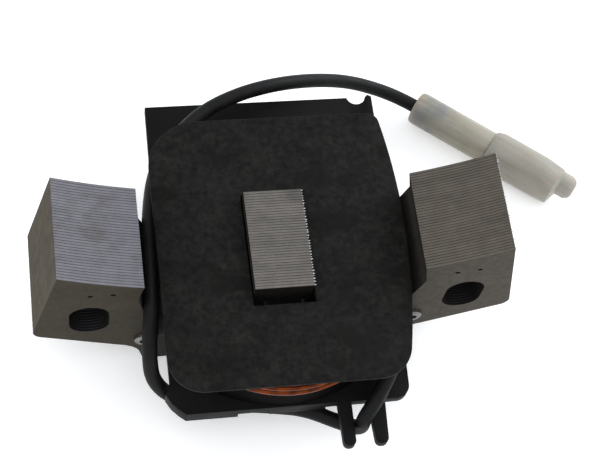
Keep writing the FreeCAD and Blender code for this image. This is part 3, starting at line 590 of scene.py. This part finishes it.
def make_burrs():
    """Slivers that the punch left along the right pole's tip and the centre leg's right, in a light
    tinned colour: a painted glint.
    """
    low, _, pitch = stack()
    draw = random.Random(5)
    inset, wide = 0.10 * MM, 0.19 * MM
    sides = ((0, 2, 1), (0, 1, 3), (1, 2, 3), (2, 0, 3))
    points, faces = [], []
    for x, z, reach in ((0.0370, 0.0360, 0.34 * MM), (0.00495, 0.0269, 0.36 * MM)):
        for index in range(SHEETS):
            y = low + (index + draw.uniform(0.3, 0.7)) * pitch
            out = draw.uniform(0.4, 1.0) * reach
            deep = draw.uniform(0.25, 0.6) * MM
            base = len(points)
            points += [
                (x - inset, y - wide, z + 0.02 * MM),
                (x - inset, y + wide, z + 0.02 * MM),
                (x - 0.02 * MM, y, z - deep),
                (x + out, y, z + 0.05 * MM),
            ]
            faces += [[base + corner for corner in side] for side in sides]
    # The light tinned colour is a painted glint on the burrs.
    add_piece("punch_burrs_painted_glint", points, faces, "tinned_tag")


def add_dimple(points, faces, middle, outward, longer):
    """A raised ring round a small pit, on a face that looks along y. It is long towards longer."""
    steps = 16
    rings = ((0.22 * MM, 0.012 * MM), (0.32 * MM, 0.05 * MM), (0.40 * MM, 0.0))
    x, level, z = middle
    base = len(points)
    points.append((x, level + outward * 0.01 * MM, z))
    for radius, lift in rings:
        for step in range(steps):
            turn = 2 * math.pi * step / steps
            stretch = 1.35 if math.cos(turn) * longer > 0 else 1.0
            points.append((
                x + radius * stretch * math.cos(turn),
                level + outward * lift,
                z + 0.8 * radius * math.sin(turn),
            ))
    for step in range(steps):
        after = (step + 1) % steps
        faces.append([base, base + 1 + step, base + 1 + after])
        for ring in range(len(rings) - 1):
            a, b = base + 1 + ring * steps, base + 1 + (ring + 1) * steps
            faces.append([a + step, b + step, b + after, a + after])


def make_interlocks():
    """The small punched dimples that key the sheets together, on both sides of each outer leg."""
    low, high, _ = stack()
    height, apart = 0.0285, 1.9 * MM
    points, faces = [], []
    for level, outward in ((low, -1), (high, 1)):
        for middle, tilt in ((-0.0300, 0.0), (0.0309, 0.18)):
            for place in (-apart, apart):
                centre = (middle + place, level, height + tilt * place)
                add_dimple(points, faces, centre, outward, -place)
    add_piece("interlock_dimples", points, faces, "insulating_tape", smooth=True)


# ---- winding ---------------------------------------------------------------------------


def outer_loop(piece, level):
    """The outermost closed line of a CAD mesh's points at one height, in order round Z."""
    places = {
        (round(vertex.co.x, 7), round(vertex.co.y, 7))
        for vertex in piece.data.vertices
        if abs(vertex.co.z - level) < 0.01 * MM
    }
    by_angle = {}
    for x, y in places:
        key = round(math.atan2(y, x), 3)
        if key not in by_angle or math.hypot(x, y) > math.hypot(*by_angle[key]):
            by_angle[key] = (x, y)
    return [by_angle[key] for key in sorted(by_angle)]


def evened(loop, step):
    """The same closed line with points every step or so."""
    line = np.array(loop + loop[:1])
    lengths = np.concatenate([[0], np.cumsum(np.linalg.norm(np.diff(line, axis=0), axis=1))])
    marks = np.linspace(0, lengths[-1], max(8, round(lengths[-1] / step)), endpoint=False)
    return np.stack([np.interp(marks, lengths, line[:, axis]) for axis in range(2)], axis=1)


def outward_of(line, reach):
    """Unit vectors out of a closed anticlockwise line, from the points reach steps each side."""
    ahead = np.roll(line, -reach, axis=0) - np.roll(line, reach, axis=0)
    outward = np.stack([ahead[:, 1], -ahead[:, 0]], axis=1)
    return outward / np.linalg.norm(outward, axis=1)[:, None]


def add_turn(points, faces, line, height, radius):
    """A closed round wire along a level line."""
    steps = 14
    base = len(points)
    for (x, y), (u, v) in zip(line, outward_of(line, 1)):
        for step in range(steps):
            turn = 2 * math.pi * step / steps
            reach = radius * math.cos(turn)
            points.append((x + u * reach, y + v * reach, height + radius * math.sin(turn)))
    around = len(line)
    for ring in range(around):
        here, there = base + ring * steps, base + (ring + 1) % around * steps
        for step in range(steps):
            after = (step + 1) % steps
            faces.append([here + step, there + step, there + after, here + after])


def make_turns():
    """The winding's bare turns: a solid core of copper with its outermost turns as round wire."""
    source = nodes["coil_winding"]
    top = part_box("coil_winding")[1].z
    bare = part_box("outer_tape")[1].z
    inner_reach, shrink = 0.015, 1.2 * MM
    loop = [place for place in outer_loop(source, top) if math.hypot(*place) > inner_reach]
    outline = evened(loop, 0.8 * MM)
    work = welded(source)
    for vertex in work.verts:
        if vertex.co.z > bare - 0.01 * MM:
            gap = np.linalg.norm(outline - np.array((vertex.co.x, vertex.co.y)), axis=1).min()
            if gap < 0.5 * MM:
                across = Vector((vertex.co.x, vertex.co.y, 0))
                vertex.co -= across.normalized() * shrink
    points, faces = taken_apart(work)
    flat_faces = len(faces)
    for height, inset in ((0.52, 0.50), (1.68, 0.80), (2.58, 1.30)):
        line = outline - outward_of(outline, 2) * inset * MM
        add_turn(points, faces, line, bare + height * MM, 0.5 * MM)
    turns = add_piece("copper_turns", points, faces, "enamelled_copper")
    for face in turns.data.polygons[flat_faces:]:
        face.use_smooth = True
    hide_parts("coil_winding")


make_sheets()
make_burrs()
make_interlocks()
make_turns()

# ---- lead ------------------------------------------------------------------------------

dress(lead, "lead_insulation")
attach(lead, "coil")
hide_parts("lead_free")

for node, width in (
    ("bobbin_tube", 0.12),
    ("front_flange", 0.2),
    ("rear_flange", 0.25),
    ("earth_tag", 0.06),
    ("pin_sleeve", 0.2),
    ("socket_sleeve", 0.25),
):
    soften(nodes[node], width * MM)


# ---- studio ----------------------------------------------------------------------------


def make_floor():
    """A plain white floor, just under the part."""
    mesh = bpy.data.meshes.new("floor")
    half = 2.0
    corners = [(-half, -half, 0), (half, -half, 0), (half, half, 0), (-half, half, 0)]
    mesh.from_pydata(corners, [], [(0, 1, 2, 3)])
    floor = bpy.data.objects.new("floor", mesh)
    floor.location.z = cad_box[0].z - 0.01 * MM
    scene.collection.objects.link(floor)
    white = (1.0, 1.0, 1.0, 1.0)
    make = Shader("floor", Roughness=0.9, Emission_Color=white, Emission_Strength=0.3)
    mesh.materials.append(make.finish(Base_Color=(0.95, 0.95, 0.95, 1)))


def add_light(name, direction, distance, size, power, colour=(1, 1, 1)):
    """A square lamp of size metres and power watts that looks at the part."""
    light = bpy.data.lights.new(name, "AREA")
    light.energy = power
    light.size = size
    light.color = colour
    lamp = bpy.data.objects.new(name, light)
    toward = Vector(direction).normalized()
    lamp.location = toward * distance
    lamp.rotation_mode = "QUATERNION"
    lamp.rotation_quaternion = toward.to_track_quat("Z", "Y")
    scene.collection.objects.link(lamp)


def make_studio():
    make_floor()
    world = bpy.data.worlds.new("studio")
    scene.world = world
    world.use_nodes = True
    sky = world.node_tree.nodes["Background"].inputs
    sky["Color"].default_value = (0.95, 0.97, 1.0, 1)
    sky["Strength"].default_value = 1.0
    add_light("window", (0.77, 0.42, 0.48), 0.9, 0.6, 5.0, (0.93, 0.96, 1.0))
    add_light("fill", (-0.3, -0.2, 1.0), 1.1, 0.8, 2.0)
    scene.view_settings.view_transform = "Standard"


make_studio()
